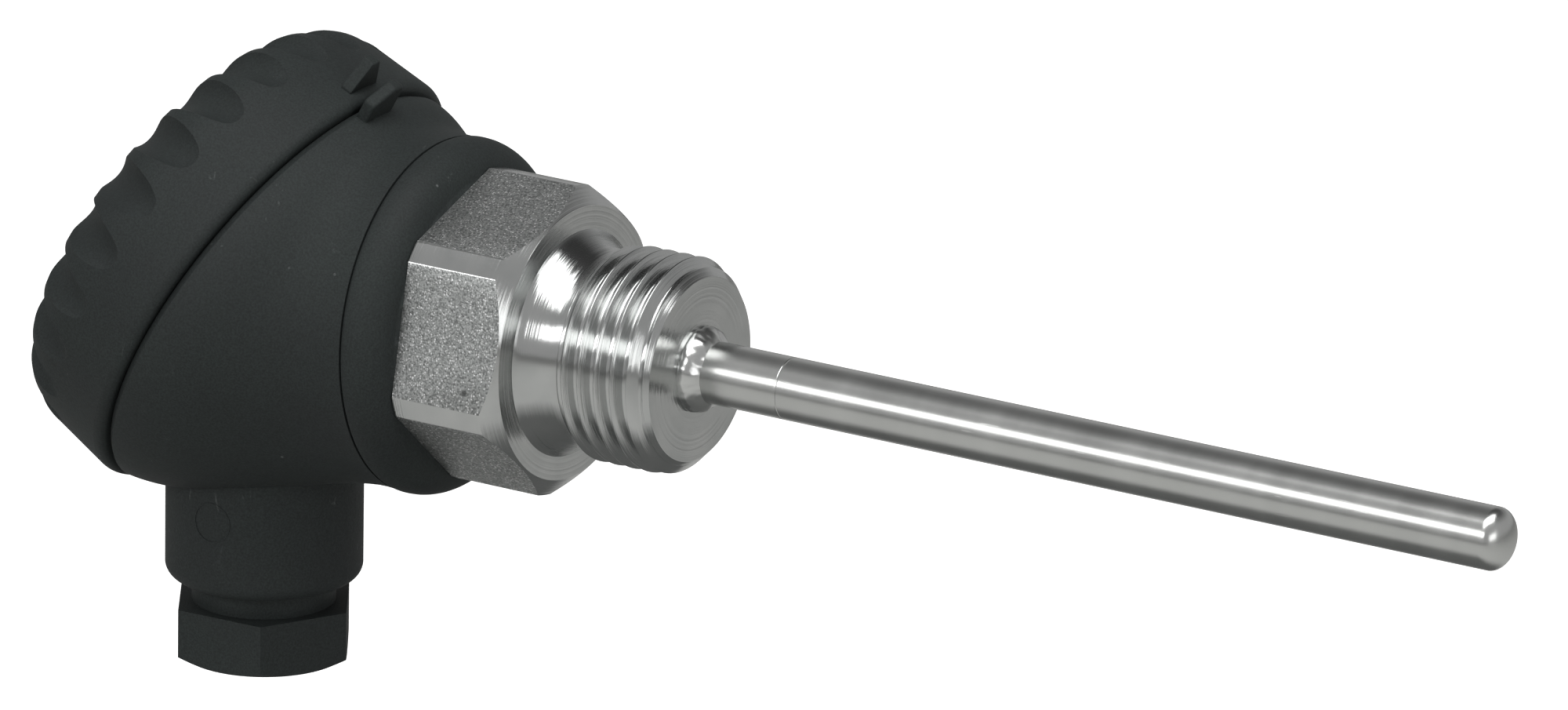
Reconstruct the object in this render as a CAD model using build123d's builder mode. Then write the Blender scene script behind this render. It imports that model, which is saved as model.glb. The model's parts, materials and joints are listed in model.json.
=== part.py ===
from build123d import *
import os
from math import cos, radians, sin

os.makedirs("parts", exist_ok=True)

# Screw-in resistance thermometer with a moulded connection head, sizes in mm.
# The origin is the middle of the plug's sealing face. +X runs along the probe to its tip, +Z is up,
# the cable gland points down and the head's screw cap faces back and up.

# Clearances
RUN_GAP = 0.08       # radial running fit of the parts that turn
FIT_GAP = 0.05       # radial gap of a piece that is pushed in and stays

# Stainless plug with its pipe thread
THREAD_D = 20.955
THREAD_PITCH = 1.814
THREAD_DEPTH = 1.162
THREAD_FLAT = 0.3
THREAD_TURNS = 5
THREAD_START = 4.3
STUD_L = 14.0
STUD_FACE_D = 17.8
NECK_BASE_D = 21.4
NECK_EDGE = 0.3
NECK_L = 3.4
NECK_BOW = 0.12
HEX_AF = 27.0
HEX_L = 11.2
HEX_CORNER_D = 30.0
HEX_TURN = 18.6      # degrees, first corner against +Y
SEAL_FACE_D = 26.55
HEX_CHAMFER = 1.4
SPIGOT_D = 16.0
SPIGOT_EDGE = 0.8
LEAD_BORE_D = 5.2
TUBE_SEAT_L = 16.0   # how deep the tube sits in the plug, from the stud's end

# Sheath
TUBE_D = 6.0
TUBE_WALL = 0.5
PROBE_L = 102.0      # sealing face to tip
TIP_L = 1.85
TIP_SPIGOT_L = 2.0
BEAD_D = 7.8
BEAD_L = 2.0
BEAD_WAIST = 0.35

# Measuring insert
ELEMENT_D = 2.8
ELEMENT_L = 15.0
ELEMENT_TIP_GAP = 0.1
INSULATOR_D = 4.6
LEAD_D = 0.7
LEAD_STEP = 1.8      # spacing of the four leads, square pattern
LEAD_HOLE_D = 1.0
LEAD_BEND = 1.2

# Screw cap
CAP_TILT = 29.0      # degrees, cap axis above the probe's rear direction
CAP_D = 47.9
CAP_DRAFT = 0.4      # radial, from the skirt's foot to the shoulder
CAP_H = 13.6
CAP_ROUND = 6.4
CAP_EDGE = 1.2
CAP_LIFT_GAP = 0.15
CAP_ROOF = 2.2
CAP_WALL = 3.27      # skirt's foot to the thread's bore
CAP_STEP_W = 3.4
CAP_PITCH = 3.0
CAP_THREAD_DEPTH = 0.8
FLUTES = 24
FLUTE_R = 2.6
FLUTE_STAND_OFF = 1.55
FLUTE_START_H = 8.0
FLUTE_SWEEP_R = 15.9  # the cutter's middle runs on this arc, over the top edge
FLUTE_SWEEP_FROM = 23.6
FLUTE_SWEEP = 55.0
FLUTE_TURN = -2.4
SEAL_T = 1.2

# Head
HEAD_X = -34.3
HEAD_Z = -0.5
BODY_SET_BACK = 0.75  # radial, the cap stands over the body
BODY_EDGE_W = 0.4
BODY_EDGE_H = 0.6
BELLY_X = -27.35
BELLY_Z = -1.15
BELLY_TILT = 20.0
BELLY_HALF_H = 20.6
BELLY_HALF_W = 21.3
WAIST_X = -18.9
WAIST_TILT = 4.0
WAIST_Z = 0.0
WAIST_HALF_H = 17.35
WAIST_HALF_W = 17.7
RING_D = 34.8
RING_L = 4.25
RING_ROUND = 2.4
RING_BACK_ROUND = 0.25
NECK_SET_BACK = 0.15
WALL = 3.1
MOUTH_WALL = 2.3
MOUTH_L = 7.0
LEDGE_W = 2.3
LEDGE_DEPTH = 3.0
CHAMBER_TAPER = 1.7
POST_D = 6.4
POST_L = 8.0

# Lugs on cap and body that stand over each other when the cap is closed
CAP_LUG_SIDE = -0.6  # its middle, towards -Y
CAP_LUG_REACH = 3.1  # beyond the skirt
CAP_LUG_H = 1.5      # lower face, above the seam
CAP_LUG_T = 1.25
CAP_LUG_ROOT_W = 4.4
CAP_LUG_TIP_W = 1.2
CAP_LUG_ROUND = 0.15
BODY_LUG_SIDE = -1.6
BODY_LUG_REACH = 2.5
BODY_LUG_H = -1.7
BODY_LUG_T = 1.3
BODY_LUG_W = 4.2
BODY_LUG_SLANT = 1.4  # how far the outer corner towards -Y stands back
BODY_LUG_CORNER = 1.0
BODY_LUG_ROUND = 0.3
LUG_ROOT_DEPTH = 2.0

# Gland
GLAND_X = -35.5
BOSS_D = 19.2
BOSS_BOTTOM = -30.0
BOSS_ROUND = 1.4
GLAND_D = 14.0
GLAND_GRIP = 5.5
GLAND_HEX_AF = 16.25
GLAND_HEX_L = 5.5
GLAND_HEX_TOP = -32.4
GLAND_HEX_TURN = 2.3
GLAND_CHAMFER = 0.7
CABLE_D = 7.6
GLAND_SEAL_L = 4.4
GLAND_SEAL_BORE = 7.0
GLAND_WASHER_T = 0.8
CABLE_HOLE_D = 9.0

# Nut that holds the head on the plug
NUT_AF = 20.0
NUT_L = 3.2
NUT_WASHER_T = 1.0
NUT_WASHER_D = 23.0
O_RING_D = 1.8
O_RING_MID_D = 20.6

# Terminal base
BASE_GAP = 1.0       # radial, in the mouth
BASE_T = 5.0
BASE_HOLE_D = 9.2
BASE_HOLE_SHIFT = 0.8
CABLE_NOTCH_D = 9.0
POST_INSET = 2.7     # middle of the posts, inside the chamber's wall
BASE_SCREW_D = 3.0
BASE_SCREW_HEAD_D = 5.5
BASE_SCREW_HEAD_H = 2.0
BASE_SCREW_L = 11.0
TERMINAL_AT = 6.9
TERMINAL_W = 5.2
TERMINAL_H = 5.5
WIRE_HOLE_D = 2.0
WIRE_HOLE_H = 2.75
TERMINAL_SCREW_D = 2.5
TERMINAL_SCREW_HEAD_D = 4.4
TERMINAL_SCREW_HEAD_H = 1.5
SLOT_W = 0.7
SLOT_DEPTH = 0.7

# Radii that follow from the cap and from the ring
cap_r = CAP_D / 2
body_r = cap_r - BODY_SET_BACK
cap_bore_r = cap_r - CAP_WALL
mouth_r = cap_bore_r - RUN_GAP
mouth_bore_r = mouth_r - MOUTH_WALL
chamber_r = mouth_bore_r - LEDGE_W
neck_r = RING_D / 2 - NECK_SET_BACK
post_at = chamber_r - POST_INSET

# Planes: across the probe, across the cap, across the gland, and the neck where head and ring meet
NECK_X = -HEX_L - RING_L
tilt = radians(CAP_TILT)
ACROSS_PROBE = Plane(origin=(0, 0, 0), x_dir=(0, 1, 0), z_dir=(1, 0, 0))
CAP_PLANE = Plane(
    origin=(HEAD_X, 0, HEAD_Z), x_dir=(sin(tilt), 0, cos(tilt)), z_dir=(-cos(tilt), 0, sin(tilt))
)
CAP_AXIS = Axis(CAP_PLANE.origin, CAP_PLANE.z_dir)
NECK_PLANE = Plane(origin=(NECK_X, 0, 0), x_dir=(0, 0, 1), z_dir=(-1, 0, 0))
BELLY_PLANE = Plane(
    origin=(BELLY_X, 0, BELLY_Z),
    x_dir=(sin(radians(BELLY_TILT)), 0, cos(radians(BELLY_TILT))),
    z_dir=(-cos(radians(BELLY_TILT)), 0, sin(radians(BELLY_TILT))),
)
WAIST_PLANE = Plane(
    origin=(WAIST_X, 0, WAIST_Z),
    x_dir=(sin(radians(WAIST_TILT)), 0, cos(radians(WAIST_TILT))),
    z_dir=(-cos(radians(WAIST_TILT)), 0, sin(radians(WAIST_TILT))),
)

# One turned piece along the probe: spigot for the head, hexagon, sealing face, neck and thread
crest_r = THREAD_D / 2
root_r = crest_r - THREAD_DEPTH
flank = (THREAD_PITCH - 2 * THREAD_FLAT) / 2
spigot_x = -HEX_L - RING_L - WALL - NUT_WASHER_T - NUT_L - SPIGOT_EDGE
thread_line = []
for turn in range(THREAD_TURNS):
    start = THREAD_START + turn * THREAD_PITCH
    thread_line += [
        (start, root_r),
        (start + flank, crest_r),
        (start + flank + THREAD_FLAT, crest_r),
        (start + 2 * flank + THREAD_FLAT, root_r),
    ]
last_start = THREAD_START + THREAD_TURNS * THREAD_PITCH
with BuildPart() as process_fitting:
    with BuildSketch(Plane.XZ):
        with BuildLine():
            Line((THREAD_START, root_r), (NECK_L, root_r))
            ThreePointArc(
                (NECK_L, root_r),
                (NECK_L / 2, (root_r + NECK_BASE_D / 2) / 2 - NECK_BOW),
                (NECK_EDGE, NECK_BASE_D / 2),
            )
            Polyline(
                (NECK_EDGE, NECK_BASE_D / 2),
                (0, NECK_BASE_D / 2 + NECK_EDGE),
                (0, SEAL_FACE_D / 2),
                (-HEX_CHAMFER, HEX_CORNER_D / 2),
                (-HEX_L, HEX_CORNER_D / 2),
                (-HEX_L, SPIGOT_D / 2),
                (spigot_x + SPIGOT_EDGE, SPIGOT_D / 2),
                (spigot_x, SPIGOT_D / 2 - SPIGOT_EDGE),
                (spigot_x, LEAD_BORE_D / 2),
                (STUD_L - TUBE_SEAT_L, LEAD_BORE_D / 2),
                (STUD_L - TUBE_SEAT_L, TUBE_D / 2 + FIT_GAP),
                (STUD_L, TUBE_D / 2 + FIT_GAP),
                (STUD_L, STUD_FACE_D / 2),
                (last_start, root_r),
                *reversed(thread_line),
            )
        make_face()
    revolve(axis=Axis.X)
    with BuildSketch(ACROSS_PROBE.offset(spigot_x)):
        RegularPolygon(HEX_AF / 2, 6, major_radius=False, rotation=HEX_TURN)
    extrude(amount=STUD_L - spigot_x, mode=Mode.INTERSECT)
process_fitting.part.label = "process_fitting"

# Thin-walled tube, let into the plug and welded at its face
tube_end = PROBE_L - TIP_L
with BuildPart() as sheath_tube:
    with BuildSketch(ACROSS_PROBE.offset(STUD_L - TUBE_SEAT_L)):
        Circle(TUBE_D / 2)
        Circle(TUBE_D / 2 - TUBE_WALL, mode=Mode.SUBTRACT)
    extrude(amount=tube_end - STUD_L + TUBE_SEAT_L)
sheath_tube.part.label = "sheath_tube"

# Weld bead in the corner of tube and plug, two soft rolls with a waist between them
with BuildPart() as weld_bead:
    with BuildSketch(Plane.XZ):
        with BuildLine():
            inner = TUBE_D / 2 + FIT_GAP
            waist = BEAD_D / 2 - BEAD_WAIST
            Polyline(
                (STUD_L + BEAD_L, inner),
                (STUD_L, inner),
                (STUD_L, waist),
            )
            ThreePointArc(
                (STUD_L, waist),
                (STUD_L + BEAD_L / 4, BEAD_D / 2),
                (STUD_L + BEAD_L / 2, waist),
            )
            ThreePointArc(
                (STUD_L + BEAD_L / 2, waist),
                (STUD_L + 0.8 * BEAD_L, waist - 0.1),
                (STUD_L + BEAD_L, inner),
            )
        make_face()
    revolve(axis=Axis.X)
weld_bead.part.label = "weld_bead"

# Plug that closes the tube: spigot in the bore, low dome outside
with BuildPart() as end_plug:
    with BuildSketch(Plane.XZ):
        with BuildLine():
            spigot_r = TUBE_D / 2 - TUBE_WALL - FIT_GAP
            Polyline(
                (PROBE_L, 0),
                (tube_end - TIP_SPIGOT_L, 0),
                (tube_end - TIP_SPIGOT_L, spigot_r),
                (tube_end, spigot_r),
                (tube_end, TUBE_D / 2),
            )
            EllipticalCenterArc((tube_end, 0), TIP_L, TUBE_D / 2, start_angle=0, arc_size=90)
        make_face()
    revolve(axis=Axis.X)
end_plug.part.label = "end_plug"

# Sensing element in the tip, with the ceramic rod that keeps its four leads apart
element_end = tube_end - TIP_SPIGOT_L - ELEMENT_TIP_GAP
element_start = element_end - ELEMENT_L
insulator_start = STUD_L - TUBE_SEAT_L
with BuildPart() as rtd_element:
    with BuildSketch(ACROSS_PROBE.offset(element_start)):
        Circle(ELEMENT_D / 2)
    extrude(amount=ELEMENT_L)
rtd_element.part.label = "rtd_element"

with BuildPart() as insulator_rod:
    with BuildSketch(ACROSS_PROBE.offset(insulator_start)):
        Circle(INSULATOR_D / 2)
        with GridLocations(LEAD_STEP, LEAD_STEP, 2, 2):
            Circle(LEAD_HOLE_D / 2, mode=Mode.SUBTRACT)
    extrude(amount=element_start - insulator_start - ELEMENT_TIP_GAP)
insulator_rod.part.label = "insulator_rod"

# Ring between the plug's hexagon and the head, with the groove for its O-ring
with BuildPart() as neck_ring:
    with BuildSketch(NECK_PLANE):
        Circle(RING_D / 2)
    extrude(amount=-RING_L)
    fillet(neck_ring.edges().group_by(Axis.X)[-1], RING_ROUND)
    fillet(neck_ring.edges().group_by(Axis.X)[0], RING_BACK_ROUND)
    with BuildSketch(NECK_PLANE):
        Circle(SPIGOT_D / 2 + FIT_GAP)
    extrude(amount=-RING_L, mode=Mode.SUBTRACT)
    with BuildSketch(NECK_PLANE):
        Circle(O_RING_MID_D / 2 + O_RING_D / 2 + FIT_GAP)
        Circle(O_RING_MID_D / 2 - O_RING_D / 2 - FIT_GAP, mode=Mode.SUBTRACT)
    extrude(amount=-O_RING_D - FIT_GAP, mode=Mode.SUBTRACT)
neck_ring.part.label = "neck_ring"

with BuildPart() as neck_seal:
    with BuildSketch(Plane.XZ):
        with Locations((NECK_X + O_RING_D / 2 + FIT_GAP / 2, O_RING_MID_D / 2)):
            Circle(O_RING_D / 2)
    revolve(axis=Axis.X)
neck_seal.part.label = "neck_seal"

# Nut and washer that clamp the head and the ring against the hexagon
washer_x = NECK_X - WALL - NUT_WASHER_T
with BuildPart() as lock_washer:
    with BuildSketch(ACROSS_PROBE.offset(washer_x)):
        Circle(NUT_WASHER_D / 2)
        Circle(SPIGOT_D / 2 + FIT_GAP, mode=Mode.SUBTRACT)
    extrude(amount=NUT_WASHER_T)
lock_washer.part.label = "lock_washer"

with BuildPart() as lock_nut:
    with BuildSketch(ACROSS_PROBE.offset(washer_x - NUT_L)):
        RegularPolygon(NUT_AF / 2, 6, major_radius=False, rotation=HEX_TURN)
        Circle(SPIGOT_D / 2 + FIT_GAP, mode=Mode.SUBTRACT)
    extrude(amount=NUT_L)
lock_nut.part.label = "lock_nut"

# Lug below the seam, a fin with rounded edges that reaches into the wall
with BuildPart() as body_lug:
    with BuildSketch(CAP_PLANE.offset(BODY_LUG_H)):
        with BuildLine():
            lug_tip = cap_r + BODY_LUG_REACH
            near_v = BODY_LUG_SIDE - BODY_LUG_W / 2
            far_v = BODY_LUG_SIDE + BODY_LUG_W / 2
            Polyline(
                (body_r - LUG_ROOT_DEPTH, near_v),
                (lug_tip - BODY_LUG_SLANT, near_v),
                (lug_tip, far_v - BODY_LUG_SLANT),
                (lug_tip, far_v),
                (body_r - LUG_ROOT_DEPTH, far_v),
                close=True,
            )
        make_face()
        fillet(vertices().sort_by(Axis.X)[-4:], BODY_LUG_CORNER / 2)
    extrude(amount=BODY_LUG_T)
    for rim in (body_lug.edges().group_by(CAP_AXIS)[-1], body_lug.edges().group_by(CAP_AXIS)[0]):
        fillet(rim, BODY_LUG_ROUND)

# Moulded head: one smooth skin from the tilted cap seat through the waist to the round neck
with BuildPart() as head_body:
    # Boss for the gland with a rounded lower edge, cut off along the cap's seat
    with BuildSketch(Plane.XY.offset(BOSS_BOTTOM)):
        with Locations((GLAND_X, 0)):
            Circle(BOSS_D / 2)
    extrude(amount=-BOSS_BOTTOM + HEAD_Z - BOSS_D / 2)
    fillet(head_body.edges().group_by(Axis.Z)[0], BOSS_ROUND)
    split(bisect_by=CAP_PLANE.offset(-BODY_EDGE_H), keep=Keep.BOTTOM)

    with BuildSketch(CAP_PLANE.offset(-BODY_EDGE_H)):
        Circle(body_r)
    with BuildSketch(BELLY_PLANE):
        Ellipse(BELLY_HALF_H, BELLY_HALF_W)
    with BuildSketch(WAIST_PLANE):
        Ellipse(WAIST_HALF_H, WAIST_HALF_W)
    with BuildSketch(NECK_PLANE):
        Circle(neck_r)
    loft()

    # Chamfered seat under the cap and the threaded mouth above it
    with BuildSketch(CAP_PLANE.offset(-BODY_EDGE_H)):
        Circle(body_r)
    with BuildSketch(CAP_PLANE):
        Circle(body_r - BODY_EDGE_W)
    loft()
    with BuildSketch(CAP_PLANE):
        Circle(mouth_r)
    extrude(amount=MOUTH_L)
    for groove_h in (CAP_PITCH * 0.6, CAP_PITCH * 1.6):
        with BuildSketch(CAP_PLANE.offset(groove_h)):
            Circle(mouth_r + 1)
            Circle(mouth_r - CAP_THREAD_DEPTH, mode=Mode.SUBTRACT)
        extrude(amount=CAP_PITCH / 3, mode=Mode.SUBTRACT)

    add(body_lug.part)

    # Terminal chamber: round well for the base, then a narrowing way to the plug's spigot
    with BuildSketch(CAP_PLANE.offset(-LEDGE_DEPTH)):
        Circle(mouth_bore_r)
    extrude(amount=LEDGE_DEPTH + MOUTH_L, mode=Mode.SUBTRACT)
    with BuildSketch(CAP_PLANE.offset(-LEDGE_DEPTH)):
        Circle(chamber_r)
    with BuildSketch(NECK_PLANE.offset(WALL)):
        Circle(chamber_r - CHAMBER_TAPER)
    loft(mode=Mode.SUBTRACT)
    with BuildSketch(NECK_PLANE):
        Circle(SPIGOT_D / 2 + FIT_GAP)
    extrude(amount=WALL, mode=Mode.SUBTRACT)

    # Posts for the base's screws, joined to the chamber's wall
    with BuildSketch(CAP_PLANE.offset(-LEDGE_DEPTH)):
        with Locations((0, post_at), (0, -post_at)):
            Circle(POST_D / 2)
    extrude(amount=-POST_L)
    with BuildSketch(CAP_PLANE.offset(-LEDGE_DEPTH)):
        with Locations((0, post_at), (0, -post_at)):
            Circle(BASE_SCREW_D / 2)
    extrude(amount=-POST_L, mode=Mode.SUBTRACT)

    # Gland bore with the seat of its rubber bush, and the hole for the cable
    with BuildSketch(Plane.XY.offset(BOSS_BOTTOM)):
        with Locations((GLAND_X, 0)):
            Circle(GLAND_D / 2 + RUN_GAP)
    extrude(amount=GLAND_GRIP + GLAND_WASHER_T + GLAND_SEAL_L, mode=Mode.SUBTRACT)
    with BuildSketch(Plane.XY.offset(BOSS_BOTTOM)):
        with Locations((GLAND_X, 0)):
            Circle(CABLE_HOLE_D / 2)
    extrude(amount=-BOSS_BOTTOM + HEAD_Z - BOSS_D / 2, mode=Mode.SUBTRACT)
head_body.part.label = "head_body"

# Screw cap: turned profile with a rounded top, scooped flutes for the grip and a lug
CAP_PROFILE = Plane(origin=CAP_PLANE.origin, x_dir=CAP_PLANE.x_dir, z_dir=(0, -1, 0))
roof_r = cap_bore_r - CAP_STEP_W
seal_top = MOUTH_L + SEAL_T
flute_u = cap_r + FLUTE_STAND_OFF
sweep_u = flute_u - FLUTE_SWEEP_R * cos(radians(FLUTE_SWEEP_FROM))
sweep_h = FLUTE_START_H - FLUTE_SWEEP_R * sin(radians(FLUTE_SWEEP_FROM))
flute_tool = Pos(flute_u, 0, FLUTE_START_H) * Sphere(FLUTE_R) + Pos(sweep_u, 0, sweep_h) * Rot(90, 0, 0) * (
    Rot(0, 0, FLUTE_SWEEP_FROM) * Torus(FLUTE_SWEEP_R, FLUTE_R, major_angle=FLUTE_SWEEP, align=None)
)
with BuildPart() as cap_lug:
    with BuildSketch(CAP_PLANE.offset(CAP_LUG_H)):
        with BuildLine():
            lug_tip = cap_r + CAP_LUG_REACH
            Polyline(
                (cap_r - LUG_ROOT_DEPTH, CAP_LUG_SIDE - CAP_LUG_ROOT_W / 2),
                (cap_r, CAP_LUG_SIDE - CAP_LUG_ROOT_W / 2),
                (lug_tip, CAP_LUG_SIDE - CAP_LUG_TIP_W / 2),
                (lug_tip, CAP_LUG_SIDE + CAP_LUG_TIP_W / 2),
                (cap_r, CAP_LUG_SIDE + CAP_LUG_ROOT_W / 2),
                (cap_r - LUG_ROOT_DEPTH, CAP_LUG_SIDE + CAP_LUG_ROOT_W / 2),
                close=True,
            )
        make_face()
    extrude(amount=CAP_LUG_T)
    fillet(cap_lug.edges(), CAP_LUG_ROUND)

with BuildPart() as head_cap:
    with BuildSketch(CAP_PROFILE):
        with BuildLine():
            shoulder_h = CAP_H - CAP_ROUND
            top_r = cap_r - CAP_DRAFT
            Polyline(
                (0, CAP_H),
                (0, CAP_H - CAP_ROOF),
                (roof_r, CAP_H - CAP_ROOF),
                (roof_r, seal_top),
                (cap_bore_r, seal_top),
                (cap_bore_r, CAP_LIFT_GAP),
                (body_r, CAP_LIFT_GAP),
            )
            EllipticalCenterArc(
                (body_r, CAP_EDGE), BODY_SET_BACK, CAP_EDGE - CAP_LIFT_GAP, start_angle=270, arc_size=90
            )
            Line((cap_r, CAP_EDGE), (top_r, shoulder_h))
            RadiusArc((top_r, shoulder_h), (top_r - CAP_ROUND, CAP_H), -CAP_ROUND)
            Line((top_r - CAP_ROUND, CAP_H), (0, CAP_H))
        make_face()
    revolve(axis=CAP_AXIS)
    with Locations(CAP_PLANE):
        with PolarLocations(0, FLUTES, start_angle=FLUTE_TURN):
            add(flute_tool, mode=Mode.SUBTRACT)
    for groove_h in (CAP_PITCH * 0.6, CAP_PITCH * 1.6):
        with BuildSketch(CAP_PLANE.offset(groove_h)):
            Circle(cap_bore_r + CAP_THREAD_DEPTH)
        extrude(amount=CAP_PITCH / 3, mode=Mode.SUBTRACT)
    add(cap_lug.part)
head_cap.part.label = "head_cap"

# Flat ring seal that the cap presses on the mouth's rim
with BuildPart() as cap_seal:
    with BuildSketch(CAP_PLANE.offset(MOUTH_L)):
        Circle(mouth_r - FIT_GAP)
        Circle(mouth_bore_r, mode=Mode.SUBTRACT)
    extrude(amount=SEAL_T)
cap_seal.part.label = "cap_seal"

# Gland: pressure screw, washer and rubber bush, one above the other in the boss
screw_top = BOSS_BOTTOM + GLAND_GRIP
with BuildPart() as gland_screw:
    with BuildSketch(Plane.XY.offset(GLAND_HEX_TOP)):
        with Locations((GLAND_X, 0)):
            RegularPolygon(GLAND_HEX_AF / 2, 6, major_radius=False, rotation=GLAND_HEX_TURN)
    extrude(amount=-GLAND_HEX_L)
    # The hexagon's lower corners are turned off to a cone
    corner_r = GLAND_HEX_AF / 2 / cos(radians(30))
    with BuildSketch(Plane.XZ):
        with Locations((GLAND_X, GLAND_HEX_TOP - GLAND_HEX_L)):
            Polygon(
                (0, 0),
                (GLAND_HEX_AF / 2, 0),
                (corner_r, GLAND_CHAMFER),
                (corner_r, GLAND_HEX_L),
                (0, GLAND_HEX_L),
                align=None,
            )
    revolve(axis=Axis((GLAND_X, 0, 0), (0, 0, 1)), mode=Mode.INTERSECT)
    with BuildSketch(Plane.XY.offset(GLAND_HEX_TOP)):
        with Locations((GLAND_X, 0)):
            Circle(GLAND_D / 2)
    extrude(amount=screw_top - GLAND_HEX_TOP)
    with BuildSketch(Plane.XY.offset(GLAND_HEX_TOP - GLAND_HEX_L)):
        with Locations((GLAND_X, 0)):
            Circle(CABLE_D / 2)
    extrude(amount=screw_top - GLAND_HEX_TOP + GLAND_HEX_L, mode=Mode.SUBTRACT)
gland_screw.part.label = "gland_screw"

with BuildPart() as gland_washer:
    with BuildSketch(Plane.XY.offset(screw_top)):
        with Locations((GLAND_X, 0)):
            Circle(GLAND_D / 2 - FIT_GAP)
            Circle(CABLE_D / 2, mode=Mode.SUBTRACT)
    extrude(amount=GLAND_WASHER_T)
gland_washer.part.label = "gland_washer"

with BuildPart() as gland_seal:
    with BuildSketch(Plane.XY.offset(screw_top + GLAND_WASHER_T)):
        with Locations((GLAND_X, 0)):
            Circle(GLAND_D / 2 - FIT_GAP)
            Circle(GLAND_SEAL_BORE / 2, mode=Mode.SUBTRACT)
    extrude(amount=GLAND_SEAL_L)
gland_seal.part.label = "gland_seal"

# Ceramic terminal base on the ledge, with its hole for the leads and a notch for the cable
with BuildPart() as terminal_base:
    with BuildSketch(CAP_PLANE.offset(-LEDGE_DEPTH)):
        Circle(mouth_bore_r - BASE_GAP)
        with Locations((BASE_HOLE_SHIFT, 0)):
            Circle(BASE_HOLE_D / 2, mode=Mode.SUBTRACT)
        with Locations((-chamber_r, 0)):
            Circle(CABLE_NOTCH_D / 2, mode=Mode.SUBTRACT)
        with Locations((0, post_at), (0, -post_at)):
            Circle(BASE_SCREW_D / 2 + RUN_GAP, mode=Mode.SUBTRACT)
    extrude(amount=BASE_T)
terminal_base.part.label = "terminal_base"

# Two cheese-head screws hold the base on the posts
base_top = BASE_T - LEDGE_DEPTH
with BuildPart() as base_screws:
    with BuildSketch(CAP_PLANE.offset(base_top)):
        with Locations((0, post_at), (0, -post_at)):
            Circle(BASE_SCREW_HEAD_D / 2)
    extrude(amount=BASE_SCREW_HEAD_H)
    with BuildSketch(CAP_PLANE.offset(base_top)):
        with Locations((0, post_at), (0, -post_at)):
            Circle(BASE_SCREW_D / 2 - FIT_GAP)
    extrude(amount=-BASE_SCREW_L)
    with BuildSketch(CAP_PLANE.offset(base_top + BASE_SCREW_HEAD_H)):
        with Locations((0, post_at), (0, -post_at)):
            Rectangle(BASE_SCREW_HEAD_D + 1, SLOT_W)
    extrude(amount=-SLOT_DEPTH, mode=Mode.SUBTRACT)
base_screws.part.label = "base_screws"

# Four brass terminals around the lead hole, each with its clamping screw and its lead
terminal_top = base_top + TERMINAL_H
wire_h = base_top + WIRE_HOLE_H
corners = [(1, 1), (-1, 1), (-1, -1), (1, -1)]
for number, (up, out) in enumerate(corners, start=1):
    spot = Plane(
        origin=CAP_PLANE.from_local_coords((up * TERMINAL_AT, out * TERMINAL_AT, base_top)),
        x_dir=CAP_PLANE.x_dir * up + CAP_PLANE.y_dir * out,
        z_dir=CAP_PLANE.z_dir,
    )
    with BuildPart() as terminal:
        with BuildSketch(spot):
            Rectangle(TERMINAL_W, TERMINAL_W)
        extrude(amount=TERMINAL_H)
        with BuildSketch(Plane(origin=spot.offset(WIRE_HOLE_H).origin, z_dir=spot.x_dir)):
            Circle(WIRE_HOLE_D / 2)
        extrude(amount=TERMINAL_W, both=True, mode=Mode.SUBTRACT)
        with BuildSketch(spot.offset(WIRE_HOLE_H)):
            Circle(TERMINAL_SCREW_D / 2 + FIT_GAP)
        extrude(amount=TERMINAL_H, mode=Mode.SUBTRACT)
    terminal.part.label = f"terminal_{number}"
    export_step(terminal.part, f"parts/terminal_{number}.step")

    with BuildPart() as terminal_screw:
        with BuildSketch(spot.offset(TERMINAL_H)):
            Circle(TERMINAL_SCREW_HEAD_D / 2)
        extrude(amount=TERMINAL_SCREW_HEAD_H)
        with BuildSketch(spot.offset(TERMINAL_H)):
            Circle(TERMINAL_SCREW_D / 2)
        extrude(amount=-(TERMINAL_H - WIRE_HOLE_H - LEAD_D / 2 - FIT_GAP))
        with BuildSketch(spot.offset(TERMINAL_H + TERMINAL_SCREW_HEAD_H)):
            Rectangle(TERMINAL_SCREW_HEAD_D + 1, SLOT_W)
        extrude(amount=-SLOT_DEPTH, mode=Mode.SUBTRACT)
    terminal_screw.part.label = f"terminal_screw_{number}"
    export_step(terminal_screw.part, f"parts/terminal_screw_{number}.step")

    # The lead runs back from the element, comes out of the base and bends over to its terminal
    side = LEAD_STEP / 2
    lift_x = HEAD_X - (wire_h / 2) / cos(tilt)
    with BuildPart() as lead:
        with BuildLine():
            path = FilletPolyline(
                (element_start, out * side, up * side),
                (lift_x, out * side, up * side),
                CAP_PLANE.from_local_coords((up * TERMINAL_AT / 2, out * TERMINAL_AT / 2, wire_h)),
                CAP_PLANE.from_local_coords((up * TERMINAL_AT, out * TERMINAL_AT, wire_h)),
                radius=LEAD_BEND,
            )
        with BuildSketch(Plane(origin=path @ 0, z_dir=path % 0)):
            Circle(LEAD_D / 2)
        sweep()
    lead.part.label = f"lead_{number}"
    export_step(lead.part, f"parts/lead_{number}.step")

pieces = [
    process_fitting, sheath_tube, weld_bead, end_plug, rtd_element, insulator_rod,
    neck_ring, neck_seal, lock_washer, lock_nut, head_body, head_cap, cap_seal,
    gland_screw, gland_washer, gland_seal, terminal_base, base_screws,
]
for piece in pieces:
    export_step(piece.part, f"parts/{piece.part.label}.step")
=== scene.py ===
import json
import math

import bpy
from mathutils import Matrix, Quaternion, Vector


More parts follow.
